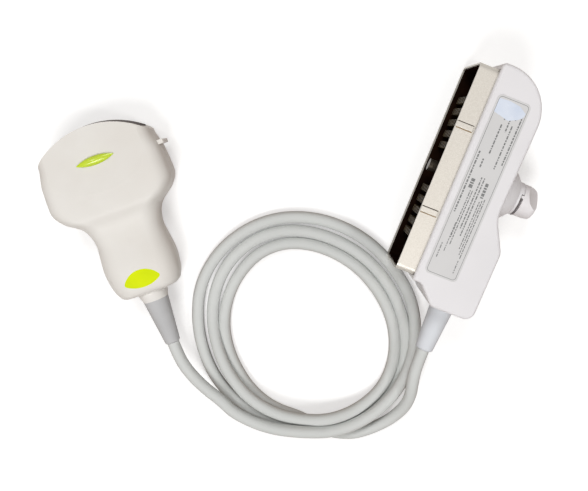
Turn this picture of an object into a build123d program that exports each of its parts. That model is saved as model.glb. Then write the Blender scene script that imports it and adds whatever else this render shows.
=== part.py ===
from build123d import *
import math
import os

os.makedirs("parts", exist_ok=True)

# An ultrasound transducer: a convex hand probe, its coiled cable and its multi-contact connector.
# Millimetres, +Z up. The probe lies on its flat side and the connector stands on its long narrow side.
# The origin is on the floor, under the middle of the rigid pieces.

# Shared gaps
fit_gap = 0.15
lock_gap = 0.35
running_gap = 0.05
overrun = 2.0

# Where the three groups lie on the floor
probe_at_x = -105.2
probe_at_y = -14.1
probe_turn_deg = -48.9
connector_at_x = 78.3
connector_at_y = 44.45
coil_at_x = 40.8
coil_at_y = -67.9

# Probe housing, along its axis from the nose chord to the tail
nose_radius = 48.0
nose_width = 65.0
nose_thickness = 22.0
nose_corner = 7.0
nose_wall = 3.0
head_at_share = 0.284
head_width = 70.8
head_thickness = 30.0
head_corner = 8.5
neck_at_share = 0.598
neck_width = 39.2
neck_thickness = 22.6
neck_corner = 9.5
grip_at_share = 0.793
grip_width = 42.0
grip_thickness = 27.4
grip_corner = 11.0
body_length = 84.5
tail_width = 34.4
tail_thickness = 23.0
tail_corner = 9.5
tail_round_share = 0.12
probe_wall = 2.2
shoulder_travel_shares = (0.15, 0.30, 0.45, 0.60, 0.79)
shoulder_form_shares = (0.04, 0.22, 0.48, 0.79, 0.93)
shoulder_drop_shares = (0.0, 0.02, 0.12, 0.64, 0.95)
nose_swell_share = 0.45
flank_share = 0.45
flank_form_share = 0.75
waist_share = 0.5
waist_form_share = 0.55
rump_share = 0.5
rump_form_share = 0.25
section_count = 24
seam_width = 0.3
seam_depth = 0.35
dish_at = -6.0
dish_rim = 28.5
dish_depth = 1.1

# Lens, array and what stands behind them
lens_chord = 58.0
lens_height = 14.5
lens_crown = 0.8
lens_lip = 0.1
array_thickness = 1.4
array_height = 12.6
backing_depth = 8.0
carrier_depth = 5.0
carrier_height = 16.2
carrier_wall_deg = 2.5
flex_thickness = 0.35
flex_width = 27.0
flex_lead = 12.0
probe_board_at_share = 0.46
probe_board_share = 0.3
probe_board_width = 28.0
board_thickness = 1.6
board_chip_height = 2.2
board_chip_share = 0.3

# Marks on the probe
marker_at = 6.2
marker_length = 21.8
marker_width = 5.0
marker_sink = 2.0
marker_crown = 0.3
marker_reach_share = 1.35
marker_tip = 0.35
rib_at = 8.6
rib_width = 2.4
rib_length = 15.0
rib_proud = 2.8
rib_root = 3.0
inlay_nose_from_tail = 14.8
inlay_tail_from_tail = 4.6
inlay_tip_from_tail = 8.2
inlay_width = 21.6
inlay_tip_round = 1.4
inlay_thickness = 0.8

# Cable and its two strain reliefs
cable_diameter = 7.0
core_diameter = 5.0
arc_run_share = 0.45
collar_length = 5.5
collar_diameter = 17.2
collar_tip_diameter = 14.6
collar_tail = 3.0
collar_lip = 1.2
probe_boot_length = 27.0
probe_boot_diameter = 14.5
boot_tip_diameter = 8.8
boot_tip_chamfer = 0.7
clamp_diameter = 12.0
clamp_width = 5.0
connector_boot_length = 27.5
connector_boot_diameter = 13.6
connector_boot_tip = 10.0
connector_boot_flange = 14.8
connector_boot_seat = 2.0
cable_entry_inset = 11.8
cable_flange_lift = 2.0

# Connector housing, seen on its label side: X is its depth and Y its length
housing_thickness = 49.0
housing_depth = 28.4
head_depth_share = 1.03
housing_wall = 2.2
head_overhang = 3.9
foot_overhang = 12.0
head_round_share = 0.84
bulge_proud = 9.2
bulge_start = 12.9
bulge_full = 29.4
bulge_round = 5.5
hip_round = 18.0
knee_round = 8.0
foot_front_share = 0.5
foot_slope = 9.8
foot_round = 4.0
edge_round = 1.8
front_corner = 2.4
screw_boss_diameter = 7.0
screw_boss_clear = 1.2
head_screw_share = 0.6
screw_diameter = 3.0
screw_head_diameter = 5.6
screw_head_height = 2.2
screw_recess = 3.0
screw_engagement = 10.0

# Metal shroud with its keys
shroud_length = 112.8
shroud_height = 44.6
shroud_reach = 10.2
shroud_depth = 8.0
shroud_wall = 1.0
shroud_corner = 3.2
shroud_flange = 3.0
key_width = 3.0
key_length = 9.2
key_proud = 0.8
key_head_share = 0.213
key_foot_share = -0.198

# Contact block behind the mouth
block_face = 1.0
bar_count = 5
bar_last_share = 0.674
bar_thickness = 3.0
bar_height = 37.0
bar_reach = 7.0
bar_first = 12.6
contact_rows = 9
contact_width = 1.7
liner_wall = 1.2
liner_setback = 0.8
contact_thickness = 0.3
contact_length = 5.6
contact_tail = 1.0
board_clear = 0.4
board_margin = 5.0
corner_screw_diameter = 4.6
corner_screw_height = 1.3
corner_screw_inset = 5.2
corner_screw_shank = 2.6

# Quarter-turn lock
lock_shaft_diameter = 6.4
shaft_front_reach = 1.3
cross_pin_diameter = 2.2
cross_pin_length = 11.0
cross_pin_setback = 2.6
bush_diameter = 9.4
bush_flange_diameter = 14.0
bush_flange = 2.0
ring_diameter = 10.0
ring_thickness = 0.9
ring_gap_width = 4.4
boss_root_diameter = 34.0
boss_diameter = 18.4
boss_height = 12.2
boss_rim = 2.4
flare_rise_share = 0.55
flare_form_share = 0.56
stop_slot_width = 1.3
stop_slot_depth = 2.4
stop_slot_deg = 104.0
stop_lug_deg = 9.0
stop_slot_start_deg = 20.0
knob_diameter = 17.8
knob_height = 9.4
knob_dome = 0.6
knob_round = 2.6
grip_bar_thickness = 7.2
scoop_radius = 9.5
scoop_lift = 1.3
scoop_turn_deg = 42.0
knob_socket_depth = 5.6
knob_screw_head = 5.4
knob_screw_head_height = 1.6
knob_screw_shank = 2.6
knob_screw_length = 6.0

# Label on the housing's upper side
label_length = 97.4
label_width = 17.8
label_thickness = 0.25
label_corner = 2.6
label_from_front = 3.6
label_from_head = 11.0
patch_length = 10.5
patch_width = 15.6
patch_thickness = 0.12
patch_inset = 0.8

# Values worked out from the sizes above
head_at = head_at_share * body_length
neck_at = neck_at_share * body_length
grip_at = grip_at_share * body_length
tail_round = tail_round_share * tail_width
probe_board_at = probe_board_at_share * body_length
probe_board_length = probe_board_share * body_length
inlay_nose_at = body_length - inlay_nose_from_tail
inlay_tail_at = body_length - inlay_tail_from_tail
inlay_tip_at = body_length - inlay_tip_from_tail
nose_sagitta = nose_radius - math.sqrt(nose_radius ** 2 - (nose_width / 2) ** 2)
nose_centre = nose_radius - nose_sagitta
lens_half_deg = math.degrees(math.asin(lens_chord / 2 / nose_radius))
probe_level = head_thickness / 2
connector_level = housing_thickness / 2
cable_radius = cable_diameter / 2
head_depth = head_depth_share * housing_depth
head_round = head_round_share * housing_depth
bulge_depth = housing_depth + bulge_proud
foot_front = foot_front_share * housing_depth
key_head_at = key_head_share * shroud_length
key_foot_at = key_foot_share * shroud_length
bar_pitch = (bar_last_share * shroud_length / 2 - bar_first) / (bar_count - 1)
boss_end = housing_depth + boss_height
knob_seat = boss_end + lock_gap
knob_end = knob_seat + knob_height
bush_inner_end = housing_depth - housing_wall - bush_flange
board_back = housing_depth - housing_wall - screw_boss_clear - 1.5 * screw_boss_diameter - board_clear
board_at = board_back - board_thickness
front_opening_y = shroud_length + 2 * fit_gap
front_opening_z = shroud_height + 2 * fit_gap
head_end = shroud_length / 2 + head_overhang
foot_end = -shroud_length / 2 - foot_overhang
cable_entry_x = bulge_depth - cable_entry_inset


def mix(start, end, share):
    """The value that lies the given share of the way from start to end."""
    return start + (end - start) * share


def write(shape, name):
    """Writes one node's STEP file."""
    shape.label = name
    export_step(shape, f"parts/{name}.step")


def on_probe(shape):
    """Moves a piece from the probe's own axes to where the probe lies."""
    return Pos(probe_at_x, probe_at_y, probe_level) * Rot(0, 0, probe_turn_deg) * shape


def on_connector(shape):
    """Moves a piece from the connector's own axes to where the connector stands."""
    return Pos(connector_at_x, connector_at_y, connector_level) * shape


def turned_x(points):
    """Turns a closed outline of (x, radius) points about the X axis."""
    return revolve(make_face(Polyline(*points, close=True)), Axis.X)


def rod_x(diameter, start, end, y=0.0, z=0.0):
    """A round rod along X from start to end."""
    return Pos((start + end) / 2, y, z) * Rot(0, 90, 0) * Cylinder(diameter / 2, end - start)


def rod_z(diameter, start, end, x, y):
    """A round rod along Z from start to end."""
    return Pos(x, y, (start + end) / 2) * Cylinder(diameter / 2, end - start)


def block(x0, x1, y0, y1, z0, z1):
    """A box between two corners."""
    return Pos((x0 + x1) / 2, (y0 + y1) / 2, (z0 + z1) / 2) * Box(x1 - x0, y1 - y0, z1 - z0)


# Probe

def probe_stations():
    """Rows of (place along the axis, width, thickness, corner radius) that shape the housing."""
    flank = mix(0, head_at, flank_share)
    rows = [
        (-nose_sagitta - overrun, nose_width, nose_thickness, nose_corner),
        (0, nose_width, mix(nose_thickness, head_thickness, nose_swell_share), nose_corner),
        (flank, mix(nose_width, head_width, flank_form_share),
         mix(nose_thickness, head_thickness, flank_form_share), mix(nose_corner, head_corner, flank_share)),
        (head_at, head_width, head_thickness, head_corner),
    ]
    for travel, form, drop in zip(shoulder_travel_shares, shoulder_form_shares, shoulder_drop_shares):
        rows.append((mix(head_at, neck_at, travel), mix(head_width, neck_width, form),
                     mix(head_thickness, neck_thickness, drop), mix(head_corner, neck_corner, form)))
    rows.append((neck_at, neck_width, neck_thickness, neck_corner))
    rows.append((mix(neck_at, grip_at, waist_share), mix(neck_width, grip_width, waist_form_share),
                 mix(neck_thickness, grip_thickness, waist_form_share),
                 mix(neck_corner, grip_corner, waist_form_share)))
    rows.append((grip_at, grip_width, grip_thickness, grip_corner))
    rows.append((mix(grip_at, body_length, rump_share), mix(grip_width, tail_width, rump_form_share),
                 mix(grip_thickness, tail_thickness, rump_form_share),
                 mix(grip_corner, tail_corner, rump_form_share)))
    rows.append((body_length, tail_width, tail_thickness, tail_corner))
    return rows


def probe_size_at(place):
    """Width, thickness and corner radius at a place, on a smooth curve through the stations."""
    rows = probe_stations()
    last = len(rows) - 1
    index = max(0, min(last - 1, sum(1 for row in rows if row[0] <= place) - 1))
    low, high = rows[index], rows[index + 1]
    span = high[0] - low[0]
    share = (place - low[0]) / span
    sizes = []
    for column in (1, 2, 3):
        slopes = [limited_slope(rows, station, column) for station in (index, index + 1)]
        sizes.append((2 * share ** 3 - 3 * share ** 2 + 1) * low[column]
                     + (share ** 3 - 2 * share ** 2 + share) * span * slopes[0]
                     + (3 * share ** 2 - 2 * share ** 3) * high[column]
                     + (share ** 3 - share ** 2) * span * slopes[1])
    return sizes


def limited_slope(rows, index, column):
    """The slope of one column at a station, held to zero at its peaks and dips."""
    if index in (0, len(rows) - 1):
        near = 1 if index == 0 else index
        return (rows[near][column] - rows[near - 1][column]) / (rows[near][0] - rows[near - 1][0])
    before = (rows[index][column] - rows[index - 1][column]) / (rows[index][0] - rows[index - 1][0])
    after = (rows[index + 1][column] - rows[index][column]) / (rows[index + 1][0] - rows[index][0])
    if before * after <= 0:
        return 0
    return 2 * before * after / (before + after)


def probe_form(inset):
    """The probe's outer form, drawn in by inset all round."""
    start = probe_stations()[0][0]
    sections = []
    for index in range(section_count + 1):
        at = mix(start, body_length, index / section_count)
        width, thickness, corner = probe_size_at(at)
        plane = Plane(origin=(at, 0, 0), x_dir=(0, 1, 0), z_dir=(1, 0, 0))
        sections.append(plane * RectangleRounded(width - 2 * inset, thickness - 2 * inset, corner - inset))
    form = loft(sections)
    reach = head_width + body_length
    nose_waste = (block(-reach, nose_centre, -reach, reach, -reach, reach)
                  - Pos(nose_centre, 0, 0) * Cylinder(nose_radius - inset, 2 * reach))
    form = form - nose_waste
    if inset:
        form = form - block(body_length - inset, reach, -reach, reach, -reach, reach)
    return form


def arc_sector(inner, outer, height, half_deg):
    """A slab of a ring about the nose's centre of curvature, facing the nose."""
    ring = Cylinder(outer, height) - Cylinder(inner, height + overrun)
    reach = outer * 2
    wedge = make_face(Polyline((0, 0), (-reach, reach * math.tan(math.radians(half_deg))),
                               (-reach, -reach * math.tan(math.radians(half_deg))), close=True))
    return Pos(nose_centre, 0, 0) * (ring & extrude(wedge, amount=height, both=True))


def probe_lens():
    """The rubber lens: a curved strip with a crowned face."""
    edge = nose_radius + lens_lip
    inner = nose_radius - nose_wall
    crown = ThreePointArc((edge, -lens_height / 2), (edge + lens_crown, 0), (edge, lens_height / 2))
    back = Polyline((edge, lens_height / 2), (inner, lens_height / 2),
                    (inner, -lens_height / 2), (edge, -lens_height / 2))
    strip = revolve(Plane.XZ * make_face([crown, back]), Axis.Z, revolution_arc=2 * lens_half_deg)
    return Pos(nose_centre, 0, 0) * Rot(0, 0, 180 - lens_half_deg) * strip


def lens_outline(tip_y, side_x, other_x, middle_x):
    """A flat outline of two arcs that meet in two points, one each side of the axis."""
    ends = ((middle_x, -tip_y), (middle_x, tip_y))
    return make_face([ThreePointArc(ends[0], (side_x, 0), ends[1]),
                      ThreePointArc(ends[1], (other_x, 0), ends[0])])


def marker_prism():
    """The straight-sided room that the head's mark stands in."""
    level = probe_top_at(marker_at) - marker_sink
    half_width = marker_width / 2
    outline = lens_outline(marker_length / 2, marker_at - half_width, marker_at + half_width, marker_at)
    return Pos(0, 0, level) * extrude(outline, amount=head_thickness)


def probe_marker():
    """The raised lens-shaped mark on the head, lying across the axis, with a crowned top."""
    level = probe_top_at(marker_at) - marker_sink
    half = marker_reach_share * marker_length / 2
    side = Spline((marker_tip, -half), (marker_width / 2 + marker_crown, 0), (marker_tip, half))
    rest = Polyline((marker_tip, half), (0, half), (0, -half), (marker_tip, -half))
    crown = Pos(marker_at, 0, level) * revolve(make_face([side, rest]), Axis.Y)
    return crown & marker_prism()


def dish_cut():
    """The large ball that leaves a shallow dish in the front of the head's upper side."""
    ball_radius = (dish_rim ** 2 + dish_depth ** 2) / (2 * dish_depth)
    span = head_at - dish_at
    tilt = math.atan((probe_top_at(head_at) - probe_top_at(dish_at)) / span)
    lift = ball_radius - dish_depth
    return Pos(dish_at - lift * math.sin(tilt), 0,
               probe_top_at(dish_at) + lift * math.cos(tilt)) * Sphere(ball_radius)


def probe_top_at(place):
    """The height of the housing's upper side above its middle plane, at a place along the axis."""
    return probe_size_at(place)[1] / 2


def build_probe():
    """Every piece of the hand probe."""
    outer = probe_form(0)
    outer = fillet(outer.faces().sort_by(Axis.X)[-1].edges(), tail_round)
    rib = block(rib_at - rib_width / 2, rib_at + rib_width / 2, -rib_root, rib_proud,
                -rib_length / 2, rib_length / 2)
    rib = fillet(rib.edges().filter_by(Axis.Z) + rib.faces().sort_by(Axis.Y)[-1].edges(), rib_width / 4)
    flank_width = mix(nose_width, head_width, flank_form_share) / 2
    dish = dish_cut()
    outer = outer - dish - mirror(dish, Plane.XY)
    outer = outer + Pos(0, flank_width, 0) * rib
    inner = probe_form(probe_wall)
    inner_nose = nose_radius - nose_wall - array_thickness
    reach = head_width + body_length
    room = (Pos(nose_centre, 0, 0) * Cylinder(nose_radius - nose_wall, reach)
            + block(nose_centre, body_length - collar_tail, -reach, reach, -reach, reach))
    window = arc_sector(inner_nose, nose_radius + overrun * 2, lens_height + 2 * fit_gap,
                        lens_half_deg + math.degrees(fit_gap / nose_radius))
    tail_hole = rod_x(collar_tip_diameter, body_length - collar_tail - overrun, body_length + overrun)
    shell = outer - (inner & room) - window - tail_hole

    marker = probe_marker()
    inlay_outline = lens_outline(inlay_width / 2, inlay_nose_at, inlay_tail_at, inlay_tip_at)
    inlay_outline = fillet(inlay_outline.vertices(), inlay_tip_round)
    prism = extrude(inlay_outline, amount=head_thickness)
    inlay = (outer & prism) - probe_form(inlay_thickness)
    seam = block(-reach, reach, -reach, reach, -seam_width / 2, seam_width / 2) - probe_form(seam_depth)
    shell = shell - marker_prism() - inlay - seam

    half = reach * 2
    above = block(-half, half, -half, half, 0, half)
    below = block(-half, half, -half, half, -half, 0)
    write(on_probe(shell & above), "probe_housing_upper")
    write(on_probe(shell & below), "probe_housing_lower")
    write(on_probe(marker), "head_marker")
    write(on_probe(inlay), "grip_inlay")

    write(on_probe(probe_lens()), "acoustic_lens")
    array_outer = nose_radius - nose_wall
    array_inner = array_outer - array_thickness
    write(on_probe(arc_sector(array_inner, array_outer, array_height, lens_half_deg)), "transducer_array")
    backing_inner = array_inner - backing_depth
    write(on_probe(arc_sector(backing_inner, array_inner, array_height, lens_half_deg)), "array_backing")
    carrier_inner = array_outer - carrier_depth
    carrier = arc_sector(carrier_inner, array_outer, carrier_height, lens_half_deg + carrier_wall_deg)
    pocket = arc_sector(carrier_inner - overrun, array_outer + overrun, array_height, lens_half_deg)
    write(on_probe(carrier - pocket), "array_carrier")

    flex_start = nose_centre - math.sqrt(carrier_inner ** 2 - (flex_width / 2) ** 2) + flex_thickness
    flex_level = array_height / 2
    drop = board_thickness / 2
    flex_side = make_face(Polyline(
        (flex_start, flex_level), (flex_start + flex_lead, flex_level),
        (probe_board_at, drop), (probe_board_at + flex_lead / 2, drop),
        (probe_board_at + flex_lead / 2, drop + flex_thickness),
        (probe_board_at, drop + flex_thickness),
        (flex_start + flex_lead, flex_level + flex_thickness),
        (flex_start, flex_level + flex_thickness), close=True))
    flex = extrude(Plane.XZ * flex_side, amount=flex_width / 2, both=True)
    write(on_probe(flex), "array_flex_upper")
    write(on_probe(mirror(flex, Plane.XY)), "array_flex_lower")

    board_end = probe_board_at + probe_board_length
    board = block(probe_board_at, board_end, -probe_board_width / 2, probe_board_width / 2, -drop, drop)
    chip_half = probe_board_width * board_chip_share / 2
    chip = block(probe_board_at + flex_lead, board_end - flex_lead / 2, -chip_half, chip_half,
                 drop, drop + board_chip_height)
    write(on_probe(board + chip), "probe_board")

    core_end = body_length - collar_tail
    clamp_start = core_end - clamp_width
    write(on_probe(rod_x(core_diameter, board_end, core_end)), "probe_cable_core")
    clamp = rod_x(clamp_diameter, clamp_start, core_end) - rod_x(core_diameter, clamp_start, core_end)
    write(on_probe(clamp), "probe_cable_clamp")

    tip = body_length + collar_length
    hole = collar_tip_diameter / 2 - fit_gap
    collar = turned_x([(core_end, 0), (core_end, hole), (body_length, hole),
                       (body_length, collar_diameter / 2), (body_length + collar_lip, collar_diameter / 2),
                       (tip, collar_tip_diameter / 2), (tip, 0)])
    write(on_probe(collar), "probe_collar")
    end = tip + probe_boot_length
    boot = turned_x([(tip, 0), (tip, probe_boot_diameter / 2), (end - boot_tip_chamfer, boot_tip_diameter / 2),
                     (end, boot_tip_diameter / 2 - boot_tip_chamfer), (end, 0)])
    write(on_probe(boot), "probe_strain_relief")


# Connector

def housing_outline(inset):
    """The housing's outline on its label side, drawn in by inset."""
    corners = [
        ((0, head_end), front_corner),
        ((head_depth, head_end), head_round),
        ((housing_depth, -bulge_start), hip_round),
        ((bulge_depth, -bulge_full), knee_round),
        ((bulge_depth, foot_end), bulge_round),
        ((foot_front, foot_end), foot_round),
        ((foot_slope / 2, foot_end + foot_slope), knee_round / 2),
        ((0, -shroud_length / 2 - front_corner), front_corner / 2),
    ]
    outline = make_face(FilletPolyline(*[place for place, _ in corners],
                                       radius=[radius for _, radius in corners], close=True))
    if inset:
        outline = offset(outline, amount=-inset)
    return outline


def lock_boss():
    """The flared boss that carries the lock shaft, with its bore filled."""
    root = boss_root_diameter / 2
    rim = boss_diameter / 2
    flare = ThreePointArc((housing_depth, root),
                          (mix(housing_depth, boss_end, flare_rise_share), mix(root, rim, flare_form_share)),
                          (boss_end - boss_rim, rim))
    inside = housing_depth - housing_wall
    rest = Polyline((boss_end - boss_rim, rim), (boss_end, rim), (boss_end, 0), (inside, 0),
                    (inside, root), (housing_depth, root))
    return revolve(make_face([flare, rest]), Axis.X)


def screw_places():
    """Places of the four housing screws."""
    head_y = head_end - head_screw_share * head_round
    middle_y = boss_root_diameter / 2 + screw_boss_diameter
    rear_x = housing_depth - housing_wall - screw_boss_clear - screw_boss_diameter / 2
    return [(rear_x - screw_boss_diameter / 2, head_y), (rear_x, middle_y), (rear_x, -middle_y),
            (rear_x + bulge_depth - housing_depth, -bulge_full - screw_boss_diameter)]


def build_housing():
    """The two housing shells and their screws."""
    half = housing_thickness / 2
    body = extrude(housing_outline(0), amount=half, both=True)
    rims = body.faces().sort_by(Axis.Z)
    body = fillet(rims[0].edges() + rims[-1].edges(), edge_round)
    body = body + lock_boss()
    room = extrude(housing_outline(housing_wall), amount=half - housing_wall, both=True)
    mouth = block(-overrun, shroud_depth + fit_gap, -front_opening_y / 2, front_opening_y / 2,
                  -front_opening_z / 2, front_opening_z / 2)
    bush_hole = rod_x(bush_diameter, 0, boss_end + overrun)
    cable_hole = Pos(cable_entry_x, foot_end, 0) * Rot(90, 0, 0) * Cylinder(
        connector_boot_diameter / 2 + fit_gap, housing_wall * 4)
    columns = Part()
    for x, y in screw_places():
        columns = columns + rod_z(screw_boss_diameter, -half + housing_wall / 2, half - housing_wall / 2, x, y)
    reach = shroud_length * 2
    seam = (block(-reach, reach, -reach, reach, -seam_width / 2, seam_width / 2)
            - extrude(housing_outline(seam_depth), amount=seam_width, both=True) - lock_boss())
    shell = body - (room - columns) - mouth - bush_hole - cable_hole - stop_slot() - seam

    upper = shell & block(-reach, reach, -reach, reach, 0, reach)
    lower = shell & block(-reach, reach, -reach, reach, -reach, 0)
    screws = []
    for x, y in screw_places():
        seat = -half + screw_recess
        lower = lower - rod_z(screw_head_diameter + fit_gap, -half - overrun, seat, x, y)
        lower = lower - rod_z(screw_diameter + fit_gap, -half, overrun, x, y)
        upper = upper - rod_z(screw_diameter, -overrun, screw_engagement, x, y)
        head = rod_z(screw_head_diameter, seat - screw_head_height, seat, x, y)
        socket = rod_z(screw_diameter / 2, seat - screw_head_height, seat - screw_head_height / 2, x, y)
        screws.append(head - socket + rod_z(screw_diameter, seat, screw_engagement, x, y))
    write(on_connector(upper), "connector_shell_upper")
    write(on_connector(lower), "connector_shell_lower")
    write(on_connector(Compound(screws)), "shell_screws")


def ring_sector_x(inner, outer, start, end, from_deg, span_deg):
    """Part of a ring about X, from an angle measured from +Z towards -Y."""
    face = Plane.XZ * make_face(Polyline((start, inner), (end, inner), (end, outer), (start, outer), close=True))
    return Rot(from_deg, 0, 0) * revolve(face, Axis.X, revolution_arc=span_deg)


def stop_slot():
    """The slot in the boss rim in which the knob's stop lug travels."""
    rim = boss_diameter / 2
    return ring_sector_x(rim - stop_slot_depth, rim + overrun, boss_end - stop_slot_width, boss_end + overrun,
                         -stop_slot_start_deg, stop_slot_deg)


def build_shroud():
    """The drawn metal shroud, its keys and the corner screws."""
    front = Plane(origin=(-shroud_reach, 0, 0), x_dir=(0, 1, 0), z_dir=(1, 0, 0))
    length = shroud_reach + shroud_depth
    outside = extrude(front * RectangleRounded(shroud_length, shroud_height, shroud_corner), amount=length)
    inside = extrude(front * RectangleRounded(shroud_length - 2 * shroud_wall, shroud_height - 2 * shroud_wall,
                                              shroud_corner - shroud_wall), amount=length - shroud_wall)
    window = extrude(front * RectangleRounded(shroud_length - 2 * shroud_flange,
                                              shroud_height - 2 * shroud_flange, shroud_wall),
                     amount=length + overrun)
    shroud = outside - inside - window
    top = shroud_height / 2
    for y in (key_head_at, key_foot_at):
        key = block(-shroud_reach, -shroud_reach + key_length, y - key_width / 2, y + key_width / 2,
                    top - shroud_wall / 2, top + key_proud)
        shroud = shroud + fillet(key.faces().sort_by(Axis.Z)[-1].edges(), key_proud / 2)
    write(on_connector(shroud), "connector_shroud")


def bar_places():
    """Places along Y of the contact bars, both sides of the shaft."""
    places = [bar_first + index * bar_pitch for index in range(bar_count)]
    return [-place for place in reversed(places)] + places


def corner_screw_places():
    """Places of the four screws that hold the contact block."""
    y = shroud_length / 2 - shroud_wall - corner_screw_inset
    z = shroud_height / 2 - shroud_wall - corner_screw_inset
    return [(sy * y, sz * z) for sy in (-1, 1) for sz in (-1, 1)]


def build_contacts():
    """The contact block with its bars, the contacts, their board and the corner screws."""
    inner_y = shroud_length / 2 - shroud_wall - fit_gap
    inner_z = shroud_height / 2 - shroud_wall - fit_gap
    back = shroud_depth - shroud_wall
    plate = block(block_face, back, -inner_y, inner_y, -inner_z, inner_z)
    plate = fillet(plate.edges().filter_by(Axis.X), shroud_corner - shroud_wall)
    rim = Plane(origin=(liner_setback - shroud_reach, 0, 0), x_dir=(0, 1, 0), z_dir=(1, 0, 0))
    rim_depth = shroud_reach - liner_setback + block_face
    round_out = shroud_corner - shroud_wall
    round_in = round_out - liner_wall
    liner = (extrude(rim * RectangleRounded(2 * inner_y, 2 * inner_z, round_out), amount=rim_depth)
             - extrude(rim * RectangleRounded(2 * (inner_y - liner_wall), 2 * (inner_z - liner_wall), round_in),
                       amount=rim_depth))
    plate = plate + liner
    contacts = []
    pitch = bar_height / contact_rows
    for y in bar_places():
        plate = plate + block(-bar_reach, block_face, y - bar_thickness / 2, y + bar_thickness / 2,
                              -bar_height / 2, bar_height / 2)
        tail_half = bar_height / 2 - pitch
        contacts.append(block(back, board_at, y - contact_tail / 2, y + contact_tail / 2, -tail_half, tail_half))
        half_bar = bar_thickness / 2
        half_clip = half_bar + contact_thickness
        for row in range(contact_rows):
            z = (row + 0.5) * pitch - bar_height / 2
            low, high = z - contact_width / 2, z + contact_width / 2
            clip = block(-bar_reach - contact_thickness, contact_length - bar_reach, y - half_clip, y + half_clip,
                         low, high)
            contacts.append(clip - block(-bar_reach, block_face, y - half_bar, y + half_bar, low, high))
    plate = plate - rod_x(lock_shaft_diameter + 2 * lock_gap, -overrun, back + overrun)
    screws = []
    for y, z in corner_screw_places():
        plate = plate - rod_x(corner_screw_shank, block_face - overrun, back + overrun, y, z)
        head = rod_x(corner_screw_diameter, block_face - corner_screw_height, block_face, y, z)
        slot = block(block_face - corner_screw_height - overrun, block_face - corner_screw_height / 2,
                     y - corner_screw_diameter, y + corner_screw_diameter,
                     z - corner_screw_height / 4, z + corner_screw_height / 4)
        screws.append(head - slot + rod_x(corner_screw_shank, block_face, back, y, z))
    write(on_connector(plate), "contact_block")
    write(on_connector(Compound(contacts)), "contacts")
    write(on_connector(Compound(screws)), "block_screws")
    board_y = shroud_length / 2 - board_margin
    board_z = shroud_height / 2 - board_margin
    board = block(board_at, board_at + board_thickness, -board_y, board_y, -board_z, board_z)
    board = board - rod_x(lock_shaft_diameter + 4 * lock_gap, 0, board_at + board_thickness + overrun)
    write(on_connector(board), "connector_board")


def build_lock():
    """The shaft, its cross pin, bush, retaining ring, knob and knob screw."""
    shaft_start = -shroud_reach - shaft_front_reach
    shaft_end = knob_seat + knob_socket_depth
    shaft = rod_x(lock_shaft_diameter, shaft_start, shaft_end)
    pin_x = shaft_start + cross_pin_setback
    pin = Pos(pin_x, 0, 0) * Cylinder(cross_pin_diameter / 2, cross_pin_length)
    screw_hole = rod_x(knob_screw_shank, shaft_end - knob_screw_length, shaft_end + overrun)
    ring_start = bush_inner_end - lock_gap - ring_thickness
    groove = lock_shaft_diameter / 2 - ring_thickness / 2
    groove_cut = (rod_x(lock_shaft_diameter + overrun, ring_start, ring_start + ring_thickness)
                  - rod_x(2 * groove, ring_start, ring_start + ring_thickness))
    write(on_connector(shaft - pin - screw_hole - groove_cut), "lock_shaft")
    write(on_connector(pin), "lock_cross_pin")
    ring = (rod_x(ring_diameter, ring_start, ring_start + ring_thickness)
            - rod_x(2 * groove, ring_start, ring_start + ring_thickness)
            - block(ring_start, ring_start + ring_thickness, -ring_gap_width / 2, ring_gap_width / 2,
                    0, ring_diameter))
    write(on_connector(ring), "shaft_retaining_ring")

    bush = (rod_x(bush_diameter, bush_inner_end, boss_end)
            + rod_x(bush_flange_diameter, bush_inner_end, bush_inner_end + bush_flange))
    bush = bush - rod_x(lock_shaft_diameter + 2 * running_gap, bush_inner_end, boss_end)
    write(on_connector(bush), "shaft_bush")

    radius = knob_diameter / 2
    knob_side = make_face(Polyline((knob_seat, 0), (knob_seat, radius), (knob_end - knob_dome, radius),
                                   (knob_end, radius / 2), (knob_end, 0), close=True))
    knob = revolve(knob_side, Axis.X)
    shoulder = knob.edges().filter_by(GeomType.CIRCLE).sort_by(Axis.X)
    outer_edge = [edge for edge in shoulder if abs(edge.center().X - (knob_end - knob_dome)) < knob_dome / 4]
    knob = fillet(outer_edge, knob_round)
    for side in (-1, 1):
        offset_y = side * (grip_bar_thickness / 2 + scoop_radius)
        scoop = Pos(knob_end + scoop_lift, offset_y, 0) * Cylinder(scoop_radius, knob_diameter * 2)
        knob = knob - Rot(scoop_turn_deg, 0, 0) * scoop
    screw_seat = knob_seat + knob_socket_depth
    knob = knob - rod_x(lock_shaft_diameter, 0, screw_seat)
    knob = knob - rod_x(knob_screw_head + 2 * fit_gap, screw_seat, knob_end + overrun)
    lug_out = boss_diameter / 2 - fit_gap
    lug = ring_sector_x(boss_diameter / 2 - stop_slot_depth + lock_gap, lug_out,
                        boss_end - stop_slot_width + lock_gap, knob_seat + fit_gap,
                        -stop_slot_start_deg + stop_lug_deg / 3, stop_lug_deg)
    write(on_connector(knob + lug), "lock_knob")
    screw = (rod_x(knob_screw_head, screw_seat, screw_seat + knob_screw_head_height)
             + rod_x(knob_screw_shank, screw_seat - knob_screw_length, screw_seat))
    socket = rod_x(knob_screw_shank, screw_seat + knob_screw_head_height / 2,
                   screw_seat + knob_screw_head_height)
    write(on_connector(screw - socket), "knob_screw")


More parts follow.
